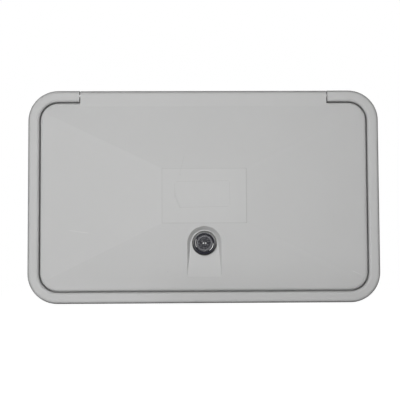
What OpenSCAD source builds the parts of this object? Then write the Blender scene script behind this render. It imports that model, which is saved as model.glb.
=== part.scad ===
// Exterior shower box: a wall-mounted service compartment with a top-hinged, pyramid-faced locking door.
// Units are millimetres. X is to the right seen from the front, Z is up and Y runs into the wall.
// The origin is the centre of the frame's flat back face, which rests on the wall.

/* [Frame] */
// Overall width of the frame
frame_width = 350; // [345:1:380]
// Overall height of the frame
frame_height = 212; // [210:1:230]
// Outer corner radius of the frame
frame_corner = 30; // [29:1:34]
// Width of the raised border seen from the front
border_width = 11.3; // [10.8:0.1:12]
// How far the border's face stands out from the wall
border_depth = 13; // [13:0.5:15]
// Rounding of the border's outer front edge
border_round = 3.8; // [3:0.1:4.2]
// Rounding of the border's inner front edge
border_inner_round = 2.8; // [1.8:0.1:3.2]
// Wall thickness of the frame moulding
frame_wall = 2.4; // [2:0.1:2.6]
// Solid length of each shoulder beside the hinge
shoulder_length = 14; // [12:1:18]
// Width of the ledge behind the door
ledge_width = 16.2; // [15.5:0.1:18]
// Number of ribs inside the hollow border along its lower side
border_ribs_across = 7; // [3:1:11]
// Number of ribs inside the hollow border along each upright side
border_ribs_up = 4; // [2:1:6]
// Thickness of the ribs inside the hollow border
border_rib = 1.6; // [1.2:0.1:2]

/* [Fixing holes] */
// Distance of the corner holes from the frame's sides
hole_inset = 47; // [40:1:60]
// Radius of the holes through the ledge
hole_radius = 2.3; // [2:0.1:2.5]
// Radius of the countersink around each hole
sink_radius = 3.9; // [3.5:0.1:4]

/* [Tub] */
// Corner radius of the tub's mouth
mouth_corner = 17; // [16:1:22]
// Depth of the tub behind the wall's face
tub_depth = 112; // [110:1:130]
// How much each side of the tub leans in towards the back
tub_draft = 5; // [2:0.5:6]
// Wall thickness of the tub
tub_wall = 2.6; // [2:0.1:3]
// Rounding of the tub's back edges
tub_round = 9; // [7:0.5:10]
// Height of the stiffening bands around the outside
band_height = 1.6; // [1:0.1:2]
// Width of the stiffening bands
band_thickness = 3; // [2:0.5:4]
// Depth of the seat that the tub's front edge sits in
seat_depth = 1.2; // [0.8:0.1:1.4]
// Gap around the tub in its seat
seat_clearance = 0.6; // [0.3:0.1:0.8]

/* [Door] */
// Gap between the door and the border
door_gap = 1.2; // [1:0.1:1.5]
// Corner radius of the door
door_corner = 18; // [16:1:20]
// Wall thickness of the door
door_wall = 2.5; // [2:0.1:2.8]
// Rounding of the door's front edge
door_round = 3.2; // [2:0.1:3.4]
// Straight side of the door behind its rounded edge
door_lip = 0.6; // [0.4:0.1:0.8]
// Width of the flat margin around the sloping faces
door_margin = 3.6; // [3.5:0.1:5]
// Rise of the sloping faces from the margin to the flat centre
face_rise = 8; // [6:0.5:11]
// Width of the flat centre pad
pad_width = 83; // [80:0.5:90]
// Height of the flat centre pad
pad_height = 53.8; // [50:0.2:56]
// Step from the sloping faces up to the pad
pad_step = 0.35; // [0.2:0.05:0.6]
// Height of the pad's centre above the door's centre
pad_up = 0.1; // [0:0.1:2]
// How far the side faces run on past the door's edge
side_overrun = 11.9; // [0:0.1:14]
// Set-back of the rim behind the door's front edge
rim_inset = 1.6; // [1.5:0.1:2]
// Gap left between the rim and the ledge
rim_gap = 1.2; // [1:0.1:1.5]
// Thickness of the ribs inside the door
rib_thickness = 1.8; // [1.5:0.1:2.2]
// Height of the stiffening ribs behind the door's flat margin
rib_depth = 1.5; // [1:0.5:3]
// Distance of the upright ribs from the door's sides
rib_inset = 79; // [60:1:90]
// Distance of the upper cross rib from the door's top
top_rib_inset = 46; // [40:1:52]

/* [Hinge] */
// Distance of the hinge tab's ends from the frame's sides
tab_inset = 52.1; // [48:0.1:60]
// Gap between the tab's ends and the frame's shoulders
tab_gap = 1; // [0.8:0.1:1.2]
// Radius of the hinge barrel
barrel_radius = 4.8; // [4.5:0.1:4.8]
// Spacing of the cored pockets in the barrel
core_spacing = 15; // [12:1:20]
// Width of the web between two cored pockets
core_web = 2.2; // [1.8:0.1:3]
// Radius of the hinge pins
pin_radius = 1.9; // [1.5:0.1:2]
// Radial running clearance of the pins in the barrel
pin_clearance = 0.05; // [0.03:0.01:0.09]
// Length of a hinge pin inside the frame's shoulder
pin_in_frame = 11; // [8:1:11]
// Length of a hinge pin inside the barrel
pin_in_barrel = 22; // [15:1:24]

/* [Lock] */
// Height of the lock's centre above the door's lower edge
lock_rise = 46.9; // [46:0.1:50]
// Radius of the lock's round head
lock_head = 12.2; // [11.5:0.1:12.4]
// Height of the lock's head above the pocket floor
lock_head_height = 4.2; // [3:0.2:5]
// Radius of the lock's threaded body
lock_body = 9.4; // [9:0.1:9.6]
// Width across the two flats of the lock's body
lock_flats = 16.4; // [15:0.1:17]
// Radius of the turning plug
plug_radius = 6.2; // [5.5:0.1:6.5]
// Radial running clearance of the plug
plug_clearance = 0.06; // [0.04:0.01:0.09]
// Radius of the plug's round face
face_radius = 9.2; // [8:0.1:9.6]
// Thickness of the plug's face
face_thickness = 1; // [0.8:0.1:1.4]
// Set-back of the plug's face behind the lock's rim
face_setback = 0.5; // [0.3:0.1:0.8]
// Width of the bevel around the lock's head
head_bevel = 1.6; // [1:0.1:2]
// Length of the lock's body behind the pocket floor
lock_length = 22; // [20:0.5:23]
// Distance from the plug's centre to the tip of the cam
cam_reach = 28; // [27:0.5:29]
// Width of the cam
cam_width = 14; // [12:0.5:14]
// Thickness of the cam
cam_thickness = 2.4; // [2:0.1:3]
// Reach of the lock pocket's floor above the lock's centre
pocket_half = 13.1; // [13:0.1:14]
// Lean of the pocket's wall, in degrees from straight
pocket_lean = 37; // [28:1:42]
// Height of the pocket's floor above the door's margin
pocket_floor = 1.3; // [1:0.1:1.5]

/* [Keeper] */
// Thickness of the keeper's sheet
keeper_sheet = 1.6; // [1.2:0.1:2]
// Width of the keeper
keeper_width = 32; // [24:1:40]
// Height of the keeper's upright
keeper_top = 11; // [10:0.5:12]
// Length of the keeper's foot
keeper_foot = 18; // [14:1:24]
// Gap between the keeper and the cam in front of the foot
keeper_gap = 1; // [0.6:0.1:1.4]

/* [Gasket] */
// Width of the foam gasket
gasket_width = 4; // [3:0.2:4]
// Gap from the tub's mouth out to the gasket
gasket_gap = 1.2; // [1:0.1:1.2]
// Thickness of the foam gasket
gasket_thickness = 3; // [2:0.5:3]
// Gap left between the gasket and the door's sealing rib
seal_gap = 0.2; // [0.1:0.1:0.5]

/* [Mixer] */
// Distance between the two supply shanks
shank_spacing = 101.6; // [101:0.1:102]
// Height of the mixer above the frame's centre
mixer_up = 22; // [18:1:24]
// Height of the mixer's cover plate
plate_height = 50; // [46:1:52]
// Depth of the mixer's cover plate
plate_depth = 9; // [8:0.5:12]
// Radius of the supply shanks
shank_radius = 10.3; // [10:0.1:10.5]
// Length of the shanks behind the tub's back wall
shank_length = 38; // [34:1:45]
// Radius of the handles
handle_radius = 17; // [15:0.5:18]
// Height of the handles
handle_height = 19; // [16:1:21]
// Height of the bonnets that carry the handles
bonnet_height = 12; // [10:0.5:14]
// Radius of the hose outlet's threaded end
outlet_radius = 10.3; // [10:0.1:10.5]
// Length of the hose outlet's threaded end
outlet_length = 13; // [11:1:15]

/* [Spray clip] */
// Distance of the clip's centre from the tub's side
clip_inset = 36; // [32:1:40]
// Height of the clip's centre below the frame's centre
clip_down = 6; // [0:1:12]
// Inner radius of the clip's open ring
clip_radius = 11.5; // [10:0.5:13]
// Wall thickness of the clip
clip_wall = 3; // [2.5:0.1:4]
// Height of the clip's ring
clip_height = 18; // [14:1:24]

/* [Hidden] */
$fn = 64;
corner_fn = 96;
// Overshoot of a cut past the face it opens, and the slack of a fixed fit
over = 1;
slack = 0.05;

inner_width = frame_width - 2 * border_width;
inner_height = frame_height - 2 * border_width;
mouth_width = inner_width - 2 * ledge_width;
mouth_height = inner_height - 2 * ledge_width;
ledge_mid_x = (mouth_width + inner_width) / 4;
ledge_mid_z = (mouth_height + inner_height) / 4;

door_width = inner_width - 2 * door_gap;
door_height = inner_height - 2 * door_gap;
door_front = -border_depth;
door_back = door_front + door_wall;
rim_back = -frame_wall - rim_gap;
seal_width = mouth_width + 2 * gasket_gap + gasket_width;
seal_height = mouth_height + 2 * gasket_gap + gasket_width;
seal_corner = mouth_corner + gasket_gap + gasket_width / 2;

tab_half = frame_width / 2 - tab_inset;
slot_half = tab_half + tab_gap;
hinge_z = frame_height / 2 - barrel_radius;
hinge_y = door_front + barrel_radius;

lock_z = lock_rise - door_height / 2;
pocket_y = door_front - pocket_floor;
pocket_depth = face_rise - pocket_floor + pad_step;
pocket_run = lock_rise - door_margin - 2;
lower_face_run = door_height / 2 - door_margin + pad_up - pad_height / 2;
lower_face_lean = atan(face_rise / lower_face_run);
lock_face_y = door_front - face_rise * (lock_rise - door_margin) / lower_face_run;
pocket_back_y = (pocket_y - lock_face_y) * cos(lower_face_lean) + pocket_half * sin(lower_face_lean);
pocket_up = pocket_half * cos(lower_face_lean) - (pocket_y - lock_face_y) * sin(lower_face_lean);
pocket_edge = pocket_up + pocket_back_y * tan(pocket_lean);
head_front = pocket_y - lock_head_height;
plug_front = head_front + face_setback;
recess_floor = plug_front + face_thickness + plug_clearance;
nut_front = pocket_y + door_wall + 0.8;
lock_back = pocket_y + lock_length;
cam_front = lock_back + 0.6;
cam_back = cam_front + cam_thickness;
plug_square = 8;
cam_screw_radius = 2.4;
cam_screw_flange = 6.4;
cam_screw_hex = 4.6;
cam_screw_head = 3;
cam_screw_grip = 6;
keeper_back = cam_front - keeper_gap;

tub_back = tub_depth - tub_wall;
plate_front = tub_back - plate_depth;
plate_wall = 2;
plate_flat = 2;
plate_corner = (plate_height - plate_flat) / 2;
plate_side = 27;
plate_width = shank_spacing + 2 * plate_side;
neck_radius = 9;
bonnet_front = plate_front - bonnet_height;
stem_radius = 6;
handle_front = bonnet_front - handle_height;
handle_chamfer = 2;
handle_shoulder = 5;
handle_skirt = 3;
button_radius = 8;
flute_radius = 6;
flute_depth = 2.6;
flute_end = 6.5;
nut_depth = 10;
nut_flange = 2;
nut_flange_reach = 6.7;
nut_hex_reach = 5.7;
clip_foot_reach = 5;
clip_foot_thickness = 4;
outlet_y = plate_front - bonnet_height;
outlet_top = mixer_up - plate_height / 2 - 1;
outlet_hex = 14;
outlet_grip = 13;

grey_white = [0.78, 0.78, 0.77];
off_white = [0.86, 0.86, 0.85];
metal_dark = [0.35, 0.35, 0.37];
metal_pale = [0.7, 0.7, 0.72];

// Drawing helpers

// Extrudes an outline drawn in X and Z from y0 back to y1
module slab(y0, y1) {
  translate([0, y1, 0]) rotate([90, 0, 0]) linear_extrude(y1 - y0) children();
}

// A rounded rectangle from plain squares and circles
module round_rect(w, h, r) {
  square([w - 2 * r, h], center = true);
  square([w, h - 2 * r], center = true);
  for (x = [-1, 1], z = [-1, 1]) translate([x * (w / 2 - r), z * (h / 2 - r)]) circle(r, $fn = corner_fn);
}

// A round bar along Y from y0 back to y1
module bar(y0, y1, r) {
  translate([0, y1, 0]) rotate([90, 0, 0]) cylinder(y1 - y0, r = r);
}

// A cone along Y: radius r0 at y0, radius r1 at y1
module cone(y0, y1, r0, r1) {
  translate([0, y1, 0]) rotate([90, 0, 0]) cylinder(y1 - y0, r1 = r1, r2 = r0);
}

// Carries a section around a rounded rectangle: the section's x runs outwards and its y runs forwards
module sweep(w, h, r) {
  rotate([90, 0, 0]) {
    for (a = [0, 180]) {
      rotate([0, 0, a]) {
        translate([w / 2, h / 2 - r, 0]) rotate([90, 0, 0]) linear_extrude(h - 2 * r) children();
        translate([w / 2 - r, h / 2 - r, 0]) rotate_extrude(angle = 90, $fn = corner_fn) translate([r, 0]) children();
      }
      rotate([0, 0, a + 90]) {
        translate([h / 2, w / 2 - r, 0]) rotate([90, 0, 0]) linear_extrude(w - 2 * r) children();
        translate([h / 2 - r, w / 2 - r, 0]) rotate_extrude(angle = 90, $fn = corner_fn) translate([r, 0]) children();
      }
    }
  }
}

// Quarter round of radius r whose outer side is at x = 0 and whose top is at y = r
module quarter_round(r) {
  intersection() {
    translate([-r, 0]) circle(r);
    translate([-r, 0]) square([r, r]);
  }
}

// A rounded box from y0 back to y1 whose sides and corners lean in by lean and whose back edge is rounded
module drafted_box(w, h, r, y0, y1, lean, back_round) {
  d = y1 - y0 - back_round;
  end_width = w - 2 * lean;
  end_height = h - 2 * lean;
  translate([0, y0, 0]) {
    for (x = [-1, 1], z = [-1, 1]) {
      translate([x * (w / 2 - r), 0, z * (h / 2 - r)]) cone(0, d, r, r - lean, $fn = corner_fn);
    }
    translate([0, 0, r - h / 2]) linear_extrude(h - 2 * r) {
      polygon([[-w / 2, 0], [w / 2, 0], [w / 2 - lean, d], [lean - w / 2, d]]);
    }
    translate([r - w / 2, 0, 0]) rotate([90, 0, 90]) linear_extrude(w - 2 * r) {
      polygon([[0, -h / 2], [0, h / 2], [d, h / 2 - lean], [d, lean - h / 2]]);
    }
  }
  translate([0, y0 + d, 0]) mirror([0, 1, 0]) sweep(end_width, end_height, r - lean) {
    quarter_round(back_round);
    translate([-back_round - over, 0]) square([over, back_round]);
  }
  slab(y0 + d - over, y1) {
    round_rect(end_width - 2 * back_round, end_height - 2 * back_round, r - lean - back_round);
  }
}

// Frame

// Section of the raised border with its rounded edges
module border_outline() {
  ro = border_round;
  ri = border_inner_round;
  translate([ri - border_width, 0]) square([border_width - ri - ro, border_depth]);
  translate([-ro, 0]) square([ro, border_depth - ro]);
  translate([-border_width, 0]) square([ri, border_depth - ri]);
  translate([-ro, border_depth - ro]) circle(ro);
  translate([ri - border_width, border_depth - ri]) circle(ri);
}

// Section of the border, hollow from behind
module border_section() {
  difference() {
    border_outline();
    translate([frame_wall - border_width, -over]) {
      square([border_width - 2 * frame_wall, border_depth - frame_wall + over]);
    }
  }
}

// Parts of the border that are filled in: the shoulders beside the hinge and the ribs of the hollow
module border_fill() {
  intersection() {
    sweep(frame_width, frame_height, frame_corner) border_outline();
    union() {
      for (s = [-1, 1]) translate([s * (slot_half + shoulder_length / 2), 0, frame_height / 2]) {
        cube([shoulder_length, 3 * border_depth, 3 * border_width], center = true);
      }
      for (i = [1:border_ribs_across]) {
        x = (i / (border_ribs_across + 1) - 0.5) * (frame_width - 2 * frame_corner);
        translate([x, 0, -frame_height / 2]) cube([border_rib, 3 * border_depth, 3 * border_width], center = true);
      }
      for (i = [1:border_ribs_up], side = [-1, 1]) {
        z = (i / (border_ribs_up + 1) - 0.5) * (frame_height - 2 * frame_corner);
        translate([side * frame_width / 2, 0, z]) cube([3 * border_width, 3 * border_depth, border_rib], center = true);
      }
    }
  }
}

// Centres of the holes through the ledge
hole_reach = frame_width / 2 - hole_inset;
hole_places = [
  [hole_reach, ledge_mid_z], [-hole_reach, ledge_mid_z], [hole_reach, -ledge_mid_z], [-hole_reach, -ledge_mid_z],
  [ledge_mid_x, 0], [-ledge_mid_x, 0], [0, ledge_mid_z], [0, -ledge_mid_z]
];

// Raised border, ledge behind the door and flat strip under the hinge
module frame() {
  seat = tub_wall + seat_clearance;
  color(grey_white) difference() {
    union() {
      difference() {
        union() {
          sweep(frame_width, frame_height, frame_corner) border_section();
          border_fill();
        }
        translate([-slot_half, -2 * border_depth, inner_height / 2 - over]) {
          cube([2 * slot_half, 3 * border_depth, border_width + 2 * over]);
        }
      }
      slab(-frame_wall, 0) round_rect(
        inner_width + 2 * frame_wall, inner_height + 2 * frame_wall, frame_corner - border_width + frame_wall
      );
      translate([-slot_half - over, -frame_wall, inner_height / 2]) {
        cube([2 * slot_half + 2 * over, frame_wall, border_width]);
      }
    }
    slab(-frame_wall - over, over) round_rect(mouth_width, mouth_height, mouth_corner);
    slab(-seat_depth, over) round_rect(mouth_width + 2 * seat, mouth_height + 2 * seat, mouth_corner + seat);
    for (p = hole_places) translate([p[0], 0, p[1]]) {
      bar(-frame_wall - over, over, hole_radius);
      cone(-frame_wall, hole_radius - sink_radius, sink_radius, hole_radius);
    }
    for (s = [-1, 1]) translate([s * slot_half, hinge_y, hinge_z]) {
      rotate([0, s * 90, 0]) translate([0, 0, -over]) cylinder(pin_in_frame + slack + over, r = pin_radius + slack / 2);
    }
  }
}

// Tub

// Width of the tub's inside at depth y, as a loss on each side
function lean_at(y) = tub_draft * (y + seat_depth) / (tub_depth + seat_depth - tub_round);

// Recessed box behind the wall with stiffening bands around it
module tub() {
  outer_width = mouth_width + 2 * tub_wall;
  outer_height = mouth_height + 2 * tub_wall;
  color(grey_white) difference() {
    union() {
      drafted_box(outer_width, outer_height, mouth_corner + tub_wall, -seat_depth, tub_depth, tub_draft, tub_round);
      for (y = [0.3, 0.68] * tub_depth) {
        grow = band_height - lean_at(y);
        slab(y, y + band_thickness) {
          round_rect(outer_width + 2 * grow, outer_height + 2 * grow, mouth_corner + tub_wall + grow);
        }
      }
    }
    drafted_box(
      mouth_width, mouth_height, mouth_corner, -seat_depth - 0.001, tub_back, tub_draft, tub_round - tub_wall
    );
    for (s = [-1, 1]) translate([s * shank_spacing / 2, 0, mixer_up]) {
      bar(tub_back - over, tub_depth + over, shank_radius + 0.6);
    }
  }
}

// Door

// The sloping faces as the common part of two trapezoid bars, moved back by set_back
module face_block(set_back) {
  x0 = door_width / 2 - door_margin + side_overrun;
  z0 = door_height / 2 - door_margin;
  translate([0, set_back, 0]) intersection() {
    translate([0, 0, -door_height]) linear_extrude(2 * door_height) polygon([
      [-x0, door_front + over], [x0, door_front + over], [x0, door_front],
      [pad_width / 2, door_front - face_rise], [-pad_width / 2, door_front - face_rise], [-x0, door_front]
    ]);
    translate([-door_width, 0, 0]) rotate([90, 0, 90]) linear_extrude(2 * door_width) polygon([
      [door_front + over, -z0], [door_front + over, z0], [door_front, z0],
      [door_front - face_rise, pad_up + pad_height / 2], [door_front - face_rise, pad_up - pad_height / 2],
      [door_front, -z0]
    ]);
  }
}

// Section of the door's rounded edge and margin
module edge_section() {
  reach = door_margin + over;
  depth = door_round + door_lip;
  translate([-reach, border_depth - depth]) square([reach - door_round, depth]);
  translate([-reach, border_depth - depth]) square([reach, door_lip]);
  translate([0, border_depth - door_round]) quarter_round(door_round);
}

// An arch open at the bottom: half-width side at y1, growing to side plus grow at y0
module arch(y0, y1, side, grow, run) {
  cone(y0, y1, side + grow, side);
  translate([0, 0, -run]) linear_extrude(run) {
    polygon([[-side, y1], [side, y1], [side + grow, y0], [-side - grow, y0]]);
  }
}

// Arch square to the lower sloping face, grown all round, that ends flat at the depth y_end
module pocket_shape(grow, y_end, run) {
  front = 2 * over;
  deep = pocket_depth + door_wall + 1;
  intersection() {
    translate([0, lock_face_y, lock_z]) rotate([lower_face_lean, 0, 0]) arch(
      -front, deep, pocket_edge + grow - deep * tan(pocket_lean), (front + deep) * tan(pocket_lean), run
    );
    slab(door_front - 2 * face_rise, y_end) square([door_width, door_height], center = true);
  }
}

// Cutting shape of the lock pocket, which runs out through the lower sloping face
module pocket_cut() {
  pocket_shape(0, pocket_y, pocket_run);
}

// Wall behind the lock pocket, parallel to the pocket's own wall and inside the door's skin
module pocket_back() {
  intersection() {
    pocket_shape(door_wall + 1, pocket_y + door_wall, pocket_run - 2);
    union() {
      face_block(0);
      slab(door_front, 0) square([door_width - 4 * door_margin, door_height - 4 * door_margin], center = true);
    }
  }
}

// Ribs on the door's inner side: the sealing ring over the gasket and the stiffening bars
module door_ribs() {
  t = rib_thickness;
  x_reach = door_width / 2 - rib_inset;
  z_top = door_height / 2 - top_rib_inset;
  z_low = lock_z + pocket_edge + barrel_radius + pocket_depth;
  y_front = door_front - face_rise;
  length_y = face_rise + door_wall + rib_depth;
  slab(door_front + door_wall / 2, -frame_wall - gasket_thickness - seal_gap) difference() {
    round_rect(seal_width + t, seal_height + t, seal_corner + t / 2);
    round_rect(seal_width - t, seal_height - t, seal_corner - t / 2);
  }
  intersection() {
    union() {
      face_block(door_wall / 2);
      slab(door_front + door_wall / 2, door_back + rib_depth) square([seal_width, seal_height], center = true);
    }
    union() {
      for (x = [-x_reach, x_reach]) translate([x - t / 2, y_front, -seal_height / 2]) {
        cube([t, length_y, seal_height]);
      }
      for (z = [z_low, z_top]) translate([-seal_width / 2, y_front, z - t / 2]) {
        cube([seal_width, length_y, t]);
      }
    }
  }
}

// Tab and barrel at the top of the door, with the barrel cored from behind and bored for the pins
module hinge_barrel() {
  root = door_height / 2 - door_margin - 1;
  core_reach = tab_half - pin_in_barrel - 3 * core_web;
  difference() {
    union() {
      translate([-tab_half, door_front, root]) cube([2 * tab_half, door_wall, hinge_z - root]);
      translate([-tab_half, hinge_y, hinge_z]) rotate([0, 90, 0]) cylinder(2 * tab_half, r = barrel_radius);
    }
    for (x = [-core_reach:core_spacing:core_reach - core_spacing]) {
      translate([x, hinge_y - barrel_radius + door_wall, hinge_z - barrel_radius / 2]) {
        cube([core_spacing - core_web, 2 * barrel_radius, barrel_radius]);
      }
    }
    for (s = [-1, 1]) translate([s * tab_half, hinge_y, hinge_z]) {
      rotate([0, -s * 90, 0]) translate([0, 0, -over]) cylinder(pin_in_barrel + core_web + over, r = pin_radius + pin_clearance);
    }
  }
}

// Skin of the door: flat margin, sloping faces and centre pad, one wall thick
module door_skin() {
  flat_corner = door_corner - door_margin;
  inset = rim_inset + door_wall;
  difference() {
    union() {
      sweep(door_width, door_height, door_corner) edge_section();
      intersection() {
        union() {
          slab(door_front, door_back) square([door_width, door_height], center = true);
          face_block(0);
          translate([0, door_front - face_rise - pad_step / 2 + over / 2, pad_up]) {
            cube([pad_width, pad_step + over, pad_height], center = true);
          }
        }
        slab(door_front - 2 * face_rise, 0) {
          round_rect(door_width - 2 * door_margin, door_height - 2 * door_margin, flat_corner);
        }
      }
    }
    intersection() {
      face_block(door_wall);
      slab(door_front - 2 * face_rise, 0) {
        round_rect(door_width - 2 * inset, door_height - 2 * inset, door_corner - inset);
      }
    }
  }
}

// Pyramid-faced door with its rim, hinge barrel and lock pocket
module door() {
  rim_width = door_width - 2 * rim_inset;
  rim_height = door_height - 2 * rim_inset;
  rim_corner = door_corner - rim_inset;
  color(grey_white) difference() {
    union() {
      door_skin();
      slab(door_back - door_wall / 4, rim_back) difference() {
        round_rect(rim_width, rim_height, rim_corner);
        round_rect(rim_width - 2 * door_wall, rim_height - 2 * door_wall, rim_corner - door_wall);
      }
      door_ribs();
      pocket_back();
      hinge_barrel();
    }
    pocket_cut();
    translate([0, 0, lock_z]) slab(pocket_y - over, pocket_y + door_wall + over) intersection() {
      circle(lock_body + 3 * slack);
      square([2 * lock_head, lock_flats + 6 * slack], center = true);
    }
  }
}

// Hinge pin on one side, fixed in the frame's shoulder and free in the barrel
module hinge_pin(side) {
  color(metal_pale) translate([side * (slot_half + pin_in_frame), hinge_y, hinge_z]) {
    rotate([0, -side * 90, 0]) cylinder(pin_in_frame + tab_gap + pin_in_barrel, r = pin_radius);
  }
}

// Left hinge pin
module hinge_pin_left() {
  hinge_pin(-1);
}

// Right hinge pin
module hinge_pin_right() {
  hinge_pin(1);
}

// Foam gasket around the tub's mouth, lying on the ledge
module gasket() {
  w = mouth_width + 2 * gasket_gap;
  h = mouth_height + 2 * gasket_gap;
  r = mouth_corner + gasket_gap;
  color([0.15, 0.15, 0.15]) slab(-frame_wall - gasket_thickness, -frame_wall) difference() {
    round_rect(w + 2 * gasket_width, h + 2 * gasket_width, r + gasket_width);
    round_rect(w, h, r);
  }
}

// Lock

// Head and threaded body of the lock
module lock_housing() {
  rim = 0.3;
  color(metal_dark) translate([0, 0, lock_z]) difference() {
    union() {
      cone(head_front, head_front + head_bevel, lock_head - head_bevel, lock_head);
      bar(head_front + head_bevel, pocket_y, lock_head);
      slab(pocket_y - over, lock_back) intersection() {
        circle(lock_body);
        square([2 * lock_head, lock_flats], center = true);
      }
    }
    bar(head_front - over, recess_floor, lock_head - head_bevel - rim);
    bar(head_front - over, lock_back + over, plug_radius + plug_clearance);
  }
}

// Turning plug with its keyway and square end
module lock_plug() {
  key_height = 8.4;
  key_width = 1.4;
  key_depth = 12;
  edge = 0.4;
  color(metal_dark) translate([0, 0, lock_z]) difference() {
    union() {
      cone(plug_front, plug_front + edge, face_radius - edge, face_radius);
      bar(plug_front + edge, plug_front + face_thickness, face_radius);
      bar(plug_front + edge, cam_front, plug_radius);
      translate([-plug_square / 2, cam_front - over, -plug_square / 2]) {
        cube([plug_square, cam_thickness + over, plug_square]);
      }
    }
    translate([-key_height / 2, plug_front - over, -key_width / 2]) cube([key_height, key_depth, key_width]);
    bar(cam_front - 2 * plug_square, cam_back + over, cam_screw_radius + slack);
  }
}

// Toothed washer under the lock's nut
module lock_washer() {
  teeth = 16;
  color(metal_pale) translate([0, 0, lock_z]) slab(pocket_y + door_wall, nut_front) difference() {
    union() {
      circle(lock_body + 2.4);
      for (i = [0:teeth - 1]) rotate(i * 360 / teeth) translate([lock_body + 2.2, 0]) square([2.2, 1.4], center = true);
    }
    circle(lock_body + 3 * slack);
  }
}

// Thin hexagon nut that holds the lock in the door
module lock_nut() {
  color(metal_dark) translate([0, 0, lock_z]) difference() {
    slab(nut_front, nut_front + 4) circle(lock_body + 3.8, $fn = 6);
    bar(nut_front - over, nut_front + 4 + over, lock_body + slack);
  }
}

// Flat cam that swings behind the keeper
module lock_cam() {
  tip = cam_reach - cam_width / 2;
  hole = plug_square + 2 * slack;
  color(metal_pale) translate([0, 0, lock_z]) difference() {
    slab(cam_front, cam_back) {
      circle(cam_width / 2);
      translate([0, -cam_width / 2]) square([tip, cam_width]);
      translate([tip, 0]) circle(cam_width / 2);
    }
    translate([-hole / 2, cam_front - over, -hole / 2]) cube([hole, cam_thickness + 2 * over, hole]);
  }
}

// Flanged hexagon screw that holds the cam on the plug
module cam_screw() {
  color(metal_pale) translate([0, 0, lock_z]) {
    bar(lock_back - cam_screw_grip, cam_back + slack, cam_screw_radius);
    bar(cam_back + slack, cam_back + over, cam_screw_flange);
    slab(cam_back + over, cam_back + over + cam_screw_head) circle(cam_screw_hex, $fn = 6);
  }
}

// Height of the tub's floor at depth y
function floor_z(y) = lean_at(y) - mouth_height / 2;

// Angle keeper on the tub's floor
module keeper() {
  y0 = keeper_back - keeper_sheet;
  y1 = keeper_back + keeper_foot;
  bend = 0.8 * keeper_sheet;
  color(metal_pale) difference() {
    translate([-keeper_width / 2, 0, slack]) rotate([90, 0, 90]) linear_extrude(keeper_width) difference() {
      union() {
        polygon([
          [y0, floor_z(y0) + bend], [y0, floor_z(y0) + keeper_top],
          [keeper_back, floor_z(y0) + keeper_top], [keeper_back, floor_z(keeper_back) + keeper_sheet],
          [y1, floor_z(y1) + keeper_sheet], [y1, floor_z(y1)], [y0 + bend, floor_z(y0 + bend)]
        ]);
      }
    }
    for (s = [-1, 1]) translate([s * keeper_width / 4, (keeper_back + y1) / 2 + 1, floor_z(y1) - over]) {
      translate([0, 0, -over]) cylinder(3 * over + keeper_sheet, r = keeper_sheet + slack);
    }
  }
}

// Rivets through the keeper's foot
module keeper_rivets() {
  y = keeper_back + keeper_foot / 2 + 1;
  rise = tub_draft / tub_depth * 2 * keeper_sheet + slack;
  color(metal_pale) for (s = [-1, 1]) translate([s * keeper_width / 4, y, floor_z(y) + rise]) {
    cylinder(keeper_sheet + 2 * slack, r = keeper_sheet);
    translate([0, 0, keeper_sheet + slack]) cylinder(1.2, r1 = 3, r2 = 1.8);
  }
}

// Mixer

// Moves to one side's shank and up to the mixer's height
module at_shank(side) {
  translate([side * shank_spacing / 2, 0, mixer_up]) children();
}

// Rounded cover plate on the tub's back wall
module mixer_plate() {
  color(off_white) translate([0, 0, mixer_up]) difference() {
    union() {
      slab(plate_front + plate_wall, tub_back - slack) round_rect(plate_width, plate_height, plate_corner);
      translate([0, plate_front + plate_wall, 0]) sweep(plate_width, plate_height, plate_corner) quarter_round(plate_wall);
      slab(plate_front, tub_back - slack) {
        round_rect(plate_width - 2 * plate_wall, plate_height - 2 * plate_wall, plate_corner - plate_wall);
      }
    }
    slab(plate_front + plate_wall, tub_depth) {
      round_rect(plate_width - 2 * plate_wall, plate_height - 2 * plate_wall, plate_corner - plate_wall);
    }
    for (s = [-1, 1]) translate([s * shank_spacing / 2, 0, 0]) bar(plate_front - over, tub_depth, shank_radius + slack);
    bar(plate_front - over, tub_depth, neck_radius + slack);
  }
}

// Radii of the bonnets where they sit on the plate and where they end
bonnet_foot = 15;
bonnet_end = 11.6;
elbow_radius = 11;
groove = 2;

// Two bored shanks, the cross passage and the hose elbow in one casting
module mixer_body() {
  passage_depth = plate_depth / 2;
  passage_height = 14;
  color(off_white) {
    for (s = [-1, 1]) at_shank(s) {
      difference() {
        bar(plate_front - slack - over, tub_depth + shank_length, shank_radius);
        bar(tub_back, tub_depth + shank_length + over, shank_radius - 3);
        difference() {
          bar(tub_depth + nut_depth, tub_depth + nut_depth + groove, shank_radius + over);
          bar(tub_depth, tub_depth + nut_depth + 2 * groove, shank_radius - 0.7);
        }
      }
      cone(bonnet_front + 4, plate_front - slack, bonnet_end, bonnet_foot);
      bar(bonnet_front, bonnet_front + 5, stem_radius);
    }
    translate([-shank_spacing / 2, plate_front + plate_wall + over, mixer_up - passage_height / 2]) {
      cube([shank_spacing, passage_depth, passage_height]);
    }
    translate([0, 0, mixer_up]) {
      bar(plate_front - slack - over, plate_front + plate_wall + 2 * over, neck_radius);
      cone(outlet_y + 2, plate_front - slack, bonnet_end, bonnet_foot);
    }
    translate([0, outlet_y, outlet_top + slack]) cylinder(mixer_up - outlet_top + elbow_radius, r = elbow_radius);
    translate([0, outlet_y, mixer_up + elbow_radius]) cylinder(3, r1 = elbow_radius, r2 = elbow_radius - 3);
  }
}

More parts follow.
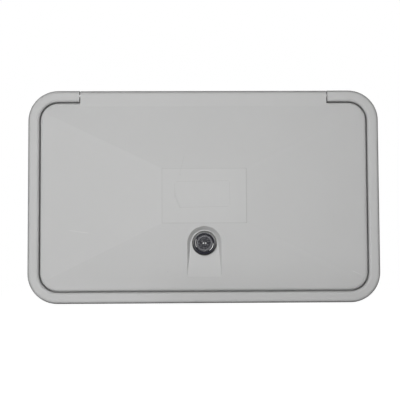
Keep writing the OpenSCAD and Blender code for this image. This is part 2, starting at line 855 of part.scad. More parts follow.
// Handle with grip flutes, a recessed face and a skirt over the bonnet
module handle(side) {
  flutes = 8;
  at_shank(side) difference() {
    union() {
      cone(handle_front, handle_front + handle_chamfer, handle_radius - handle_chamfer, handle_radius);
      bar(handle_front + handle_chamfer, bonnet_front - handle_shoulder, handle_radius);
      cone(bonnet_front - handle_shoulder, bonnet_front + handle_skirt, handle_radius, stem_radius + handle_skirt);
    }
    for (i = [0:flutes - 1]) rotate([0, i * 360 / flutes, 0]) {
      translate([handle_radius + flute_radius - flute_depth, 0, 0]) {
        bar(handle_front - over, bonnet_front - flute_end, flute_radius);
      }
    }
    bar(handle_front - over, handle_front + 1.2, button_radius);
    bar(bonnet_front - slack, bonnet_front + 4, stem_radius + slack);
  }
}

// Hot handle on the left
module hot_handle() {
  color(off_white) handle(-1);
}

// Cold handle on the right
module cold_handle() {
  color(off_white) handle(1);
}

// Round button let into a handle's face
module handle_button(side) {
  at_shank(side) {
    bar(handle_front + 0.3, handle_front + 1.2 - slack, button_radius - slack);
    cone(handle_front - 0.3, handle_front + 0.3, button_radius - 0.8, button_radius - slack);
  }
}

// Red button
module hot_button() {
  color([0.7, 0.12, 0.1]) handle_button(-1);
}

// Blue button
module cold_button() {
  color([0.1, 0.2, 0.6]) handle_button(1);
}

// Flanged lock nut on a shank behind the tub
module shank_nut(side) {
  at_shank(side) difference() {
    union() {
      bar(tub_depth + slack, tub_depth + nut_flange, shank_radius + nut_flange_reach);
      slab(tub_depth + nut_flange, tub_depth + nut_depth) circle(shank_radius + nut_hex_reach, $fn = 6);
    }
    bar(tub_depth - over, tub_depth + nut_depth + over, shank_radius + slack);
  }
}

// Nut on the left shank
module hot_nut() {
  color(off_white) shank_nut(-1);
}

// Nut on the right shank
module cold_nut() {
  color(off_white) shank_nut(1);
}

// Hexagonal union with a short threaded end for the hose, pointing down
module hose_outlet() {
  end_z = -outlet_hex - outlet_length;
  color([0.8, 0.8, 0.8]) translate([0, outlet_y, outlet_top]) difference() {
    union() {
      translate([0, 0, -3]) cylinder(3, r = outlet_grip);
      translate([0, 0, -outlet_hex]) cylinder(outlet_hex - 3, r = outlet_grip, $fn = 6);
      translate([0, 0, end_z]) cylinder(outlet_length + over, r = outlet_radius);
    }
    translate([0, 0, end_z - over]) cylinder(outlet_length + outlet_hex, r = outlet_radius - 3.8);
  }
}

// Ring around the top of the union
module outlet_collar() {
  color([0.6, 0.6, 0.6]) translate([0, outlet_y, outlet_top - 2.6]) difference() {
    cylinder(3.4, r = outlet_grip + 1.8);
    translate([0, 0, -over]) cylinder(2.6 + over, r = outlet_grip + slack);
    translate([0, 0, 2]) cylinder(2, r = elbow_radius + slack);
  }
}

// Open ring on a foot that holds the hand spray
module spray_clip() {
  outer = clip_radius + clip_wall;
  foot_width = 2 * outer + 2;
  foot_height = clip_height + 2 * clip_foot_reach;
  neck = 10;
  mouth = 1.6 * clip_radius;
  ring_y = tub_back - clip_foot_thickness - outer - 4;
  color(off_white) translate([mouth_width / 2 - clip_inset, 0, -clip_down]) difference() {
    union() {
      slab(tub_back - slack - clip_foot_thickness, tub_back - slack) round_rect(foot_width, foot_height, 4);
      translate([-neck / 2, ring_y + clip_radius, -clip_height / 2]) {
        cube([neck, tub_back - clip_foot_thickness / 2 - ring_y - clip_radius, clip_height]);
      }
      translate([0, ring_y, -clip_height / 2]) cylinder(clip_height, r = outer);
    }
    translate([0, ring_y, -clip_height / 2 - over]) cylinder(clip_height + 2 * over, r = clip_radius);
    translate([-mouth / 2, ring_y - 2 * outer, -clip_height / 2 - over]) {
      cube([mouth, 2 * outer, clip_height + 2 * over]);
    }
    for (s = [-1, 1]) translate([s * (foot_width / 2 - 4.5), 0, 0]) {
      bar(tub_back - 2 * clip_foot_thickness, tub_back + over, 1.7 + slack);
    }
  }
}

// Two pan-head screws in the clip's foot
module clip_screws() {
  place = clip_radius + clip_wall + 1 - 4.5;
  head_back = tub_back - clip_foot_thickness - 2 * slack;
  color(metal_pale) for (s = [-1, 1]) {
    translate([mouth_width / 2 - clip_inset + s * place, 0, -clip_down]) difference() {
      union() {
        bar(head_back - 0.2, tub_back - slack, 1.7);
        cone(head_back - 1.8, head_back, 2.2, 3.2);
      }
      translate([-2, head_back - 2.5, -0.4]) cube([4, 1.4, 0.8]);
    }
  }
}

frame();
tub();
door();
hinge_pin_left();
hinge_pin_right();
gasket();
lock_housing();
lock_plug();
lock_washer();
lock_nut();
lock_cam();
cam_screw();
keeper();
keeper_rivets();
mixer_plate();
mixer_body();
hot_handle();
cold_handle();
hot_button();
cold_button();
hot_nut();
cold_nut();
hose_outlet();
outlet_collar();
spray_clip();
clip_screws();
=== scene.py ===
import bmesh
import bpy
import math
from mathutils import Matrix, Vector


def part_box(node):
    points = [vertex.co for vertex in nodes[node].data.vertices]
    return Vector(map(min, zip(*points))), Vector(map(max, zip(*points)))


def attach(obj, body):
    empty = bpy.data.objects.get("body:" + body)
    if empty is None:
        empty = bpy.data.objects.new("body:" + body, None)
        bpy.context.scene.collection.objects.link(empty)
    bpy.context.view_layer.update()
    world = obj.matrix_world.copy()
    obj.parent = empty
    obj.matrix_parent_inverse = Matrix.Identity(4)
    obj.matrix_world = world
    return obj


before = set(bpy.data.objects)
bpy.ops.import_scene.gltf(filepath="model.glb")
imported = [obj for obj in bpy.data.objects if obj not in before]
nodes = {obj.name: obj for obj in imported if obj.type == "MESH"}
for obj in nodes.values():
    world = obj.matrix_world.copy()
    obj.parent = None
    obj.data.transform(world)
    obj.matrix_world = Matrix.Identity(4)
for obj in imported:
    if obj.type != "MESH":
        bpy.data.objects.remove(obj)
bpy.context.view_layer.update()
mm = 0.001
print("frame loaded:", len(nodes), "nodes")


# Node maths: a Wire is one socket, and arithmetic on it adds Math nodes
class Wire:
    def __init__(self, graph, socket):
        self.graph = graph
        self.socket = socket

    def math(self, operation, first, second=None):
        values = {0: first} if second is None else {0: first, 1: second}
        return self.graph.add("ShaderNodeMath", {"operation": operation}, values)

    def __add__(self, other):
        return self.math("ADD", self, other)

    def __radd__(self, other):
        return self.math("ADD", other, self)

    def __sub__(self, other):
        return self.math("SUBTRACT", self, other)

    def __rsub__(self, other):
        return self.math("SUBTRACT", other, self)

    def __mul__(self, other):
        return self.math("MULTIPLY", self, other)

    def __rmul__(self, other):
        return self.math("MULTIPLY", other, self)

    def __truediv__(self, other):
        return self.math("DIVIDE", self, other)

    def __abs__(self):
        return self.math("ABSOLUTE", self)

    def root(self):
        return self.math("SQRT", self)

    def most(self, other):
        return self.math("MAXIMUM", self, other)

    def least(self, other):
        return self.math("MINIMUM", self, other)

    def ramp(self, low, high):  # 0 below low, 1 above high, smooth between
        settings = {"interpolation_type": "SMOOTHSTEP"}
        return self.graph.add("ShaderNodeMapRange", settings, {0: self, 1: low, 2: high, 3: 0.0, 4: 1.0})


# A node tree and the one method that adds to it
class Graph:
    def add(self, kind, settings=None, values=None, output=0):
        node = self.tree.nodes.new(kind)
        for key, value in (settings or {}).items():
            setattr(node, key, value)
        for key, value in (values or {}).items():
            if isinstance(value, Wire):
                self.tree.links.new(value.socket, node.inputs[key])
            else:
                node.inputs[key].default_value = value
        return Wire(self, node.outputs[output]) if node.outputs else None


# One material with its node tree
class Finish(Graph):
    def __init__(self, name):
        self.material = bpy.data.materials.new(name)
        self.material.use_nodes = True
        self.tree = self.material.node_tree
        self.tree.nodes.clear()

    def place(self):  # the point in the row frame, in metres
        return self.add("ShaderNodeTexCoord", output="Object")

    def axes(self, point=None):
        split = self.add("ShaderNodeSeparateXYZ", values={0: point or self.place()})
        return [Wire(self, out) for out in split.socket.node.outputs]

    def stretch(self, scale):
        return self.add("ShaderNodeMapping", values={"Vector": self.place(), "Scale": scale})

    def noise(self, size, detail=2.0, roughness=0.5, point=None):
        values = {"Vector": point or self.place(), "Scale": 1 / size}
        values.update({"Detail": detail, "Roughness": roughness})
        return self.add("ShaderNodeTexNoise", values=values)

    def cells(self, size, output="Distance"):
        return self.add("ShaderNodeTexVoronoi", None, {"Vector": self.place(), "Scale": 1 / size}, output)

    def mix(self, amount, first, second):
        mixer = self.tree.nodes.new("ShaderNodeMix")
        mixer.data_type = "RGBA"
        for key, value in ((0, amount), (6, first), (7, second)):
            if isinstance(value, Wire):
                self.tree.links.new(value.socket, mixer.inputs[key])
            else:
                mixer.inputs[key].default_value = value if key == 0 else (*value, 1.0)
        return Wire(self, mixer.outputs[2])

    def bump(self, height, depth):
        return self.add("ShaderNodeBump", values={"Height": height, "Distance": depth, "Strength": 1.0})

    def shade(self, color, rough, metal=0.0, normal=None, **fixed):
        values = {"Base Color": color, "Roughness": rough, "Metallic": metal}
        if not isinstance(color, Wire):
            values["Base Color"] = (*color, 1.0)
        if normal:
            values["Normal"] = normal
        for key, value in fixed.items():
            values[key.replace("_", " ")] = value
        surface = self.add("ShaderNodeBsdfPrincipled", values=values)
        self.add("ShaderNodeOutputMaterial", values={0: surface})
        return self.material


# Moulded grey plastic: fine grain, faint clouding, specks, and painted shade that darkens it towards the
# bottom from the middle rightwards
plasticLook = {
    "color": (0.497, 0.498, 0.496),
    "cloud": 0.035,
    "cloudSize": 70 * mm,
    "rough": 0.52,
    "fineSize": 6 * mm,
    "fineTone": 0.985,
    "grainSize": 0.42 * mm,
    "grainDepth": 0.012 * mm,
    "speckSize": 21 * mm,
    "speckReach": 0.022,
    "speckTone": 0.5,
    # painted shade: how strongly and where the plastic is darkened low down towards the right
    "shadeStrength": 0.075,
    "shadeUp": (-100 * mm, -55 * mm),
    "shadeAcross": (-80 * mm, -10 * mm),
}


def mouldedPlastic(name, look, marks=None):
    f = Finish(name)
    base = Vector(look["color"])
    cloud = f.noise(look["cloudSize"], 3.0, 0.55)
    fine = f.noise(look["fineSize"], 2.0)
    tone = f.mix(cloud, base * (1 - look["cloud"]), base * (1 + look["cloud"]))
    tone = f.mix(fine * 0.35, tone, base * look["fineTone"])
    specks = 1 - f.cells(look["speckSize"]).ramp(look["speckReach"] * 0.6, look["speckReach"])
    tone = f.mix(specks * 0.35, tone, base * look["speckTone"])
    x, y, z = f.axes()
    # painted shade: darker towards the bottom, from the middle rightwards
    paintedShade = (1 - z.ramp(*look["shadeUp"])) * x.ramp(*look["shadeAcross"]) * (0.75 + cloud * 0.5)
    tone = f.mix(paintedShade * look["shadeStrength"], tone, (0.0, 0.0, 0.0))
    rough = look["rough"] + (cloud - 0.5) * 0.12 + (fine - 0.5) * 0.06
    grain = f.noise(look["grainSize"], 2.0, 0.6)
    normal = f.bump(grain, look["grainDepth"])
    if marks:
        tone, rough, normal = marks(f, tone, rough, normal)
    return f.shade(tone, rough, 0.0, normal, Specular_IOR_Level=0.15)


# A thin line from one point to another on the door's face, as a mask
def scratchLine(f, start, end, width):
    x, y, z = f.axes()
    run = Vector((end[0] - start[0], end[1] - start[1]))
    length = run.length
    run.normalize()
    along = (x - start[0]) * run.x + (z - start[1]) * run.y
    across = (x - start[0]) * -run.y + (z - start[1]) * run.x
    wave = (f.noise(4 * mm) - 0.5) * (2 * width)
    inside = along.ramp(-1 * mm, 2 * mm) * (1 - along.ramp(length - 4 * mm, length))
    return inside * (1 - abs(across + wave).ramp(width * 0.4, width))


# Scratches as start, end and width, and spots, on the front of the door, in metres
doorMarks = {
    "dark": [((-0.0195, 0.0405), (-0.0243, 0.0205), 0.00028)],
    "pale": [
        ((0.146, -0.0745), (0.1575, -0.0795), 0.0004),
        ((-0.133, -0.0335), (-0.112, -0.0365), 0.0004),
    ],
    "spots": [
        (-0.0237, 0.0208),
        (0.1283, -0.0209),
        (-0.0632, 0.0526),
        (0.0618, 0.0126),
        (0.1528, 0.0711),
        (0.1568, 0.0141),
    ],
    "spotSize": 0.6 * mm,
    "front": (-12.5 * mm, -11.5 * mm),
    "darkTone": (0.22, 0.22, 0.22),
    "paleTone": (0.7, 0.7, 0.69),
}
# Painted shade in the step round the pad, heavier at the right where the step's shadow falls
padLine = {
    "width": 83.0 * mm,
    "height": 53.8 * mm,
    "up": 0.1 * mm,
    "reach": 0.45 * mm,
    "front": (-18.5 * mm, -18 * mm),
    "heavyFrom": (40 * mm, 41 * mm),
    "shadeStrength": 0.4,
    "tone": (0.25, 0.25, 0.245),
}
# Painted shade along the top of the hinge barrel
barrelLine = {
    "up": (103.2 * mm, 105.7 * mm),
    "front": (-7.5 * mm, -6 * mm),
    "tone": (0.12, 0.12, 0.118),
}


# The door's scratches and spots, with painted shade in the pad's step and along the barrel's top
def doorWearAndShade(f, tone, rough, normal):
    x, y, z = f.axes()
    front = 1 - y.ramp(*doorMarks["front"])
    dark = 0.0
    for start, end, width in doorMarks["dark"]:
        dark = scratchLine(f, start, end, width) + dark
    pale = 0.0
    for start, end, width in doorMarks["pale"]:
        pale = scratchLine(f, start, end, width) + pale
    for spotX, spotZ in doorMarks["spots"]:
        reach = abs(x - spotX).most(abs(z - spotZ))
        dark = (1 - reach.ramp(doorMarks["spotSize"] * 0.5, doorMarks["spotSize"])) + dark
    # painted shade: a dark line in the step round the pad, heavier at the right
    padX = abs(x) - padLine["width"] / 2
    padZ = abs(z - padLine["up"]) - padLine["height"] / 2
    seam = 1 - abs(padX.most(padZ)).ramp(padLine["reach"] * 0.3, padLine["reach"])
    uneven = 0.3 + f.noise(6 * mm) * 0.5 + x.ramp(*padLine["heavyFrom"]) * 0.5
    seam = seam * (1 - y.ramp(*padLine["front"])) * uneven
    tone = f.mix(seam.least(1.0) * padLine["shadeStrength"], tone, padLine["tone"])
    # painted shade along the top of the hinge barrel
    barrel = z.ramp(*barrelLine["up"]) * (1 - y.ramp(*barrelLine["front"]))
    tone = f.mix(barrel * (0.45 + f.noise(15 * mm, 3.0) * 0.3), tone, barrelLine["tone"])
    rub = f.noise(12 * mm, 4.0, 0.7, f.stretch((0.35, 1.0, 2.2))).ramp(0.6, 0.75)
    tone = f.mix(dark.least(1.0) * front * 0.16, tone, doorMarks["darkTone"])
    tone = f.mix(pale.least(1.0) * front * 0.3, tone, doorMarks["paleTone"])
    return tone, rough + rub * front * 0.07 - dark.least(1.0) * 0.05, normal


# Painted shade on the rounding of the frame's outer edge, heavier below
rimLine = {
    "halfWidth": 175 * mm,
    "halfHeight": 106 * mm,
    "corner": 30 * mm,
    "reach": 2.6 * mm,
    "front": (-8.5 * mm, -7 * mm),
    "low": 8 * mm,
    "shadeStrength": 0.6,
    "tone": (0.12, 0.12, 0.118),
}


def paintedRimShade(f, tone, rough, normal):
    x, y, z = f.axes()
    overX = (abs(x) - (rimLine["halfWidth"] - rimLine["corner"])).most(0.0)
    overZ = (abs(z) - (rimLine["halfHeight"] - rimLine["corner"])).most(0.0)
    out = (overX * overX + overZ * overZ).root() - rimLine["corner"]
    # painted shade: darker on the outer rounding, more so along the bottom
    paintedShade = out.ramp(-rimLine["reach"], -0.2 * mm) * (1 - y.ramp(*rimLine["front"]))
    low = 1 - z.ramp(-rimLine["halfHeight"], rimLine["low"] - rimLine["halfHeight"])
    paintedShade = paintedShade * (0.7 + f.noise(15 * mm, 3.0) * 0.6 + low * 0.45) * rimLine["shadeStrength"]
    tone = f.mix(paintedShade.least(1.0), tone, rimLine["tone"])
    return tone, rough, normal


# Plated or polished metal with a hazy tone and fine hair scratches
platingLook = {"hazeSize": 4 * mm, "haze": 0.2, "hairSize": 1.2 * mm, "hairDepth": 0.006 * mm}


def platedMetal(name, color, rough):
    f = Finish(name)
    base = Vector(color)
    cloud = f.noise(platingLook["hazeSize"], 3.0, 0.6)
    hair = f.noise(platingLook["hairSize"], 4.0, 0.75, f.stretch((1.0, 1.0, 6.0)))
    tone = f.mix(cloud * platingLook["haze"], base, base * 0.6)
    scratched = f.bump(hair, platingLook["hairDepth"])
    return f.shade(tone, rough + (hair - 0.5) * 0.18 + cloud * 0.05, 1.0, scratched)


# The lock's tones, each from dark to bright, and where they change; the bevel, ring, bead and shutter
# tones carry painted light and shade
lockLook = {
    "litUp": (-11 * mm, 8 * mm),
    "bevel": ((0.012, 0.012, 0.014), (0.32, 0.32, 0.31)),
    "bevelFrom": (10.5 * mm, 10.9 * mm),
    "ring": ((0.006, 0.006, 0.008), (0.06, 0.06, 0.06)),
    "ringFrom": (9.8 * mm, 10.2 * mm),
    "worn": (0.3, 0.3, 0.29),
    "wornFrom": (10.9 * mm, 11.8 * mm),
    "face": ((0.006, 0.006, 0.008), (0.02, 0.02, 0.021)),
    "spots": (0.07, 0.07, 0.07),
    "bead": ((0.015, 0.015, 0.017), (0.5, 0.5, 0.48)),
    "beadLeft": (-8.2 * mm, -7.6 * mm),
    "beadRight": (4.5 * mm, 5.5 * mm),
    "beadLow": (-1.5 * mm, 0.5 * mm),
    "shutter": ((0.01, 0.01, 0.012), (0.2, 0.2, 0.2)),
    "glintFrom": (0.3 * mm, 0.6 * mm),
    "glintTo": (1.3 * mm, 2.0 * mm),
}


# The lock's own place: sideways, up and out from its axis
def lockPlace(f):
    low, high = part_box("lock_plug")
    x, y, z = f.axes()
    side = x - (low.x + high.x) / 2
    up = z - (low.z + high.z) / 2
    return side, up, (side * side + up * up).root()


# The lock's housing: a plated bevel with a painted highlight where it faces up, round a flat ring darkened
# as painted shade and lighter towards the top
def housingMetal():
    f = Finish("housingMetal")
    side, up, out = lockPlace(f)
    hair = f.noise(1.2 * mm, 4.0, 0.75)
    # painted highlight: the bevel and the ring are lighter towards the top
    lit = up.ramp(*lockLook["litUp"])
    bevel = f.mix(lit, *lockLook["bevel"])
    ring = f.mix(out.ramp(*lockLook["ringFrom"]), lockLook["ring"][0], f.mix(lit, *lockLook["ring"]))
    tone = f.mix(out.ramp(*lockLook["bevelFrom"]), ring, bevel)
    tone = f.mix(out.ramp(*lockLook["wornFrom"]) * (1 - lit) * 0.7, tone, lockLook["worn"])
    return f.shade(tone, 0.36 + (hair - 0.5) * 0.15, 1.0, f.bump(hair, 0.008 * mm))


# The plug's dark face, cast a little uneven
def faceMetal():
    f = Finish("faceMetal")
    cast = f.noise(1.2 * mm, 3.0, 0.6)
    spots = 1 - f.cells(1.6 * mm).ramp(0.25, 0.4)
    tone = f.mix(cast.ramp(0.35, 0.65), *lockLook["face"])
    tone = f.mix(spots * 0.35, tone, lockLook["spots"])
    return f.shade(tone, 0.42, 1.0, f.bump(cast, 0.04 * mm))


# The bead round the plug's face, with painted highlights at the left and lower right
def beadMetal():
    f = Finish("beadMetal")
    side, up, out = lockPlace(f)
    # painted highlights on the bead at the left and lower right
    left = (1 - side.ramp(*lockLook["beadLeft"])) * 0.7
    right = side.ramp(*lockLook["beadRight"]) * (1 - up.ramp(*lockLook["beadLow"]))
    tone = f.mix(left.most(right), *lockLook["bead"])
    return f.shade(tone, 0.24 + f.noise(1 * mm) * 0.1, 1.0)


# The keyway's shutter, with painted highlights in two places
def shutterMetal():
    f = Finish("shutterMetal")
    side, up, out = lockPlace(f)
    # painted highlights either side of the middle
    shutterGlint = abs(side).ramp(*lockLook["glintFrom"]) * (1 - abs(side).ramp(*lockLook["glintTo"]))
    tone = f.mix(shutterGlint, *lockLook["shutter"])
    return f.shade(tone, 0.4 + f.noise(1 * mm) * 0.1, 1.0)


# Zinc-plated sheet with spangles that go dull in places
zincLook = {
    "spangleSize": 3.5 * mm,
    "tones": ((0.27, 0.275, 0.28), (0.35, 0.35, 0.34)),
    "dull": (0.25, 0.25, 0.24),
    "rough": 0.5,
}


def zincSheet(look):
    f = Finish("zincSheet")
    patch = f.axes(f.cells(look["spangleSize"], output="Color"))[0]
    tone = f.mix(patch, *look["tones"])
    dull = f.noise(9 * mm, 3.0).ramp(0.5, 0.75)
    tone = f.mix(dull * 0.5, tone, look["dull"])
    grain = f.bump(f.noise(0.6 * mm, 2.0), 0.008 * mm)
    return f.shade(tone, look["rough"] + patch * 0.1 + dull * 0.15, 1.0, grain)


# Closed-cell foam of the gasket
foamLook = {
    "poreSize": 0.9 * mm,
    "poreDepth": 0.18 * mm,
    "tones": ((0.018, 0.018, 0.019), (0.035, 0.035, 0.036)),
    "rough": 0.92,
}


def closedFoam(look):
    f = Finish("closedFoam")
    pores = f.cells(look["poreSize"])
    tone = f.mix(f.noise(10 * mm, 2.0), *look["tones"])
    return f.shade(tone, look["rough"], 0.0, f.bump(pores, look["poreDepth"]))


# Glossy moulded plastic of the mixer, with a dried water film
glossLook = {"cloudSize": 20 * mm, "filmSize": 4.5 * mm, "peelSize": 1.1 * mm, "peelDepth": 0.006 * mm}


def glossPlastic(name, color, rough=0.16):
    f = Finish(name)
    base = Vector(color)
    cloud = f.noise(glossLook["cloudSize"], 3.0, 0.6)
    film = f.noise(glossLook["filmSize"], 3.0, 0.65).ramp(0.52, 0.72)
    tone = f.mix(cloud * 0.5, base, base * 0.93)
    tone = f.mix(film * 0.12, tone, base * 0.82)
    normal = f.bump(f.noise(glossLook["peelSize"], 2.0), glossLook["peelDepth"])
    return f.shade(tone, rough + film * 0.16, 0.0, normal, Coat_Weight=0.25, Coat_Roughness=0.08)


# The blank paper label on the door's pad, with one corner torn off and lifting
labelLook = {
    "width": 54.4 * mm,
    "height": 25.8 * mm,
    "corner": 2.2 * mm,
    "centre": (-1.9 * mm, 1.6 * mm),
    "turn": 1.0,
    "thick": 0.22 * mm,
    "tear": ((-27.2 * mm, -1.8 * mm), (-23.0 * mm, -12.9 * mm)),
    "lift": 0.5 * mm,
    "liftReach": 3 * mm,
    "wave": 0.04 * mm,
    "waves": (900, 1300),  # radians a metre, across and up
    "cells": (68, 32),
    "tones": ((0.486, 0.487, 0.485), (0.5, 0.501, 0.499)),
    "edgeTone": (0.3, 0.3, 0.29),
}


# Label stock: the door's grey with paper fibre and a film's soft sheen, with a painted shadow line along
# its edge
def labelStock(look):
    f = Finish("labelPaper")
    fibre = f.noise(0.6 * mm, 4.0, 0.7, f.stretch((0.5, 1.0, 1.6)))
    cloud = f.noise(11 * mm, 3.0)
    turned = {"Vector": f.place(), "Center": (look["centre"][0], 0, look["centre"][1])}
    turned["Angle"] = math.radians(look["turn"])
    x, y, z = f.axes(f.add("ShaderNodeVectorRotate", {"rotation_type": "Y_AXIS"}, turned))
    overX = abs(x - look["centre"][0]) - look["width"] / 2
    overZ = abs(z - look["centre"][1]) - look["height"] / 2
    # painted shadow: a dark line just inside the label's edge
    edge = overX.most(overZ).ramp(-0.5 * mm, -0.1 * mm)
    tone = f.mix(cloud, *look["tones"])
    tone = f.mix(edge * 0.35, tone, look["edgeTone"])
    return f.shade(tone, 0.46 + fibre * 0.1, 0.0, f.bump(fibre, 0.01 * mm), Specular_IOR_Level=0.2)


materials = {
    "housingPlastic": mouldedPlastic("housingPlastic", plasticLook, paintedRimShade),
    "doorPlastic": mouldedPlastic("doorPlastic", plasticLook, doorWearAndShade),
    "tubPlastic": mouldedPlastic("tubPlastic", dict(plasticLook, color=(0.52, 0.52, 0.515), rough=0.46)),
    "lockMetal": platedMetal("lockMetal", (0.075, 0.075, 0.078), 0.3),
    "housingMetal": housingMetal(),
    "faceMetal": faceMetal(),
    "beadMetal": beadMetal(),
    "shutterMetal": shutterMetal(),
    "brightSteel": platedMetal("brightSteel", (0.62, 0.62, 0.62), 0.26),
    "outletMetal": platedMetal("outletMetal", (0.46, 0.455, 0.445), 0.24),
    "zincSheet": zincSheet(zincLook),
    "closedFoam": closedFoam(foamLook),
    "mixerPlastic": glossPlastic("mixerPlastic", (0.7, 0.7, 0.675), 0.22),
    "nutPlastic": glossPlastic("nutPlastic", (0.66, 0.66, 0.635), 0.4),
    "labelPaper": labelStock(labelLook),
    "redPlastic": glossPlastic("redPlastic", (0.5, 0.012, 0.01)),
    "bluePlastic": glossPlastic("bluePlastic", (0.008, 0.04, 0.36)),
}
finishOf = {
    "housingPlastic": ["frame"],
    "doorPlastic": ["door"],
    "tubPlastic": ["tub"],
    "housingMetal": ["lock_housing"],
    "lockMetal": ["lock_nut"],
    "faceMetal": ["lock_plug"],
    "brightSteel": ["hinge_pin_left", "hinge_pin_right", "cam_screw", "keeper_rivets", "clip_screws"],
    "outletMetal": ["hose_outlet", "outlet_collar"],
    "zincSheet": ["lock_washer", "lock_cam", "keeper"],
    "closedFoam": ["gasket"],
    "mixerPlastic": ["mixer_plate", "mixer_body", "hot_handle", "cold_handle", "spray_clip"],
    "nutPlastic": ["hot_nut", "cold_nut"],
    "redPlastic": ["hot_button"],
    "bluePlastic": ["cold_button"],
}
for finish, names in finishOf.items():
    for name in names:
        mesh = nodes[name].data
        mesh.materials.clear()
        mesh.materials.append(materials[finish])
print("materials set")


# A geometry tree with named number inputs, run once to make a plain mesh
class Former(Graph):
    def __init__(self, name, sizes):
        self.tree = bpy.data.node_groups.new(name, "GeometryNodeTree")
        self.sizes = sizes
        self.keys = {}
        self.tree.interface.new_socket("Geometry", in_out="OUTPUT", socket_type="NodeSocketGeometry")
        for label in sizes:
            entry = self.tree.interface.new_socket(label, in_out="INPUT", socket_type="NodeSocketFloat")
            self.keys[label] = entry.identifier
        self.group = self.tree.nodes.new("NodeGroupInput")

    def size(self, label):
        return Wire(self, self.group.outputs[label])

    def place(self, shape, shift, turn=(0, 0, 0)):
        values = {"Geometry": shape, "Translation": shift, "Rotation": turn}
        return self.add("GeometryNodeTransform", None, values)

    def ring(self, piece, count, radius):  # copies of a piece evenly around Z
        line = self.add("GeometryNodeMeshLine", None, {"Count": count, "Offset": (0, 0, 0)})
        step = self.add("GeometryNodeInputIndex") * (2 * math.pi / count)
        across = step.math("COSINE", step) * radius
        along = step.math("SINE", step) * radius
        spot = self.add("ShaderNodeCombineXYZ", None, {0: across, 1: along})
        line = self.add("GeometryNodeSetPosition", None, {"Geometry": line, "Position": spot})
        facing = self.add("ShaderNodeCombineXYZ", None, {2: step})
        values = {"Points": line, "Instance": piece, "Rotation": facing}
        return self.add("GeometryNodeInstanceOnPoints", None, values)

    def hoop(self, corners, radius):  # a closed round curve
        values = {"Resolution": corners, "Radius": radius}
        return self.add("GeometryNodeCurvePrimitiveCircle", {"mode": "RADIUS"}, values)

    def make(self, shape, material, body, slot):
        shape = self.add("GeometryNodeRealizeInstances", None, {0: shape})
        shape = self.add("GeometryNodeSetMaterial", None, {"Geometry": shape, "Material": material})
        self.add("NodeGroupOutput", None, {0: shape})
        holder = bpy.data.objects.new("holder", bpy.data.meshes.new("holder"))
        bpy.context.scene.collection.objects.link(holder)
        modifier = holder.modifiers.new("form", "NODES")
        modifier.node_group = self.tree
        for label, value in self.sizes.items():
            modifier[self.keys[label]] = float(value)
        seen = holder.evaluated_get(bpy.context.evaluated_depsgraph_get())
        mesh = bpy.data.meshes.new_from_object(seen)
        holder.modifiers.remove(modifier)
        bpy.data.objects.remove(holder)
        return addPiece(self.tree.name, mesh, body)


def addPiece(name, mesh, body):
    piece = bpy.data.objects.new(name, mesh)
    bpy.context.scene.collection.objects.link(piece)
    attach(piece, body)
    return piece


# Screw threads as a ridge wound round a cylinder, along Y or down along Z
threadLook = {
    "radius": 10.12 * mm,
    "ridge": 0.5 * mm,
    "pitch": 1.814 * mm,
    "stepsPerTurn": 40,
    "ridgeCorners": 4,
    "nutGap": 3 * mm,
    "endGap": 1.2 * mm,
    "outletLength": 11.0 * mm,
}


def windThread(name, sizes, shift, turn, material, body, slot):
    f = Former(name, sizes)
    spiral = {"Resolution": threadLook["stepsPerTurn"], "Height": f.size("length")}
    spiral["Rotations"] = f.size("length") / f.size("pitch")
    spiral["Start Radius"] = f.size("radius")
    spiral["End Radius"] = f.size("radius")
    path = f.add("GeometryNodeCurveSpiral", None, spiral)
    ridge = f.hoop(threadLook["ridgeCorners"], f.size("ridge"))
    wound = {"Curve": path, "Profile Curve": ridge, "Fill Caps": True}
    shape = f.add("GeometryNodeCurveToMesh", None, wound)
    return f.make(f.place(shape, shift, turn), material, body, slot)


def makeThreads(look):
    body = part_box("mixer_body")[1]
    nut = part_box("hot_nut")
    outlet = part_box("hose_outlet")
    start = nut[1].y + look["nutGap"]
    middle = (nut[0] + nut[1]) / 2
    sizes = {key: look[key] for key in ("radius", "ridge", "pitch")}
    sizes["length"] = body.y - start - look["endGap"]
    back = (math.pi / 2, 0, 0)
    for name, side in (("hotThread", -1), ("coldThread", 1)):
        shift = (side * abs(middle.x), start + sizes["length"], middle.z)
        windThread(name, sizes, shift, back, materials["mixerPlastic"], "box", "mixer_plastic")
    low = dict(sizes, length=look["outletLength"])
    shift = (0, (outlet[0].y + outlet[1].y) / 2, outlet[0].z + look["endGap"])
    windThread("outletThread", low, shift, (0, 0, 0), materials["outletMetal"], "box", "outlet_metal")


# Knurls round the outlet's collar
knurlLook = {"count": 52, "thick": 0.55 * mm, "sink": 0.15 * mm, "endGap": 0.4 * mm}


def makeKnurls(look):
    low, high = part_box("outlet_collar")
    middle = (low + high) / 2
    radius = (high.x - low.x) / 2
    f = Former("collarKnurls", {"thick": look["thick"], "reach": radius - look["sink"]})
    tooth = {"Vertices": 6, "Radius": f.size("thick"), "Depth": high.z - low.z - 2 * look["endGap"]}
    tooth = f.add("GeometryNodeMeshCylinder", None, tooth)
    ring = f.ring(tooth, look["count"], f.size("reach"))
    f.make(f.place(ring, middle), materials["outletMetal"], "box", "outlet_metal")


# The lock's face: a shutter in the keyway, a raised bead and a band of fine ticks
lockFace = {
    "bead": 8.7 * mm,
    "beadThick": 0.28 * mm,
    "beadCorners": (72, 10),
    "ticks": 44,
    "tickReach": 6.9 * mm,
    "tickSize": (1.3 * mm, 0.22 * mm, 0.14 * mm),
    "shutter": (8.1 * mm, 0.7 * mm, 1.24 * mm),
    "shutterDeep": 1.1 * mm,
    "shutterEdge": 0.15 * mm,
}


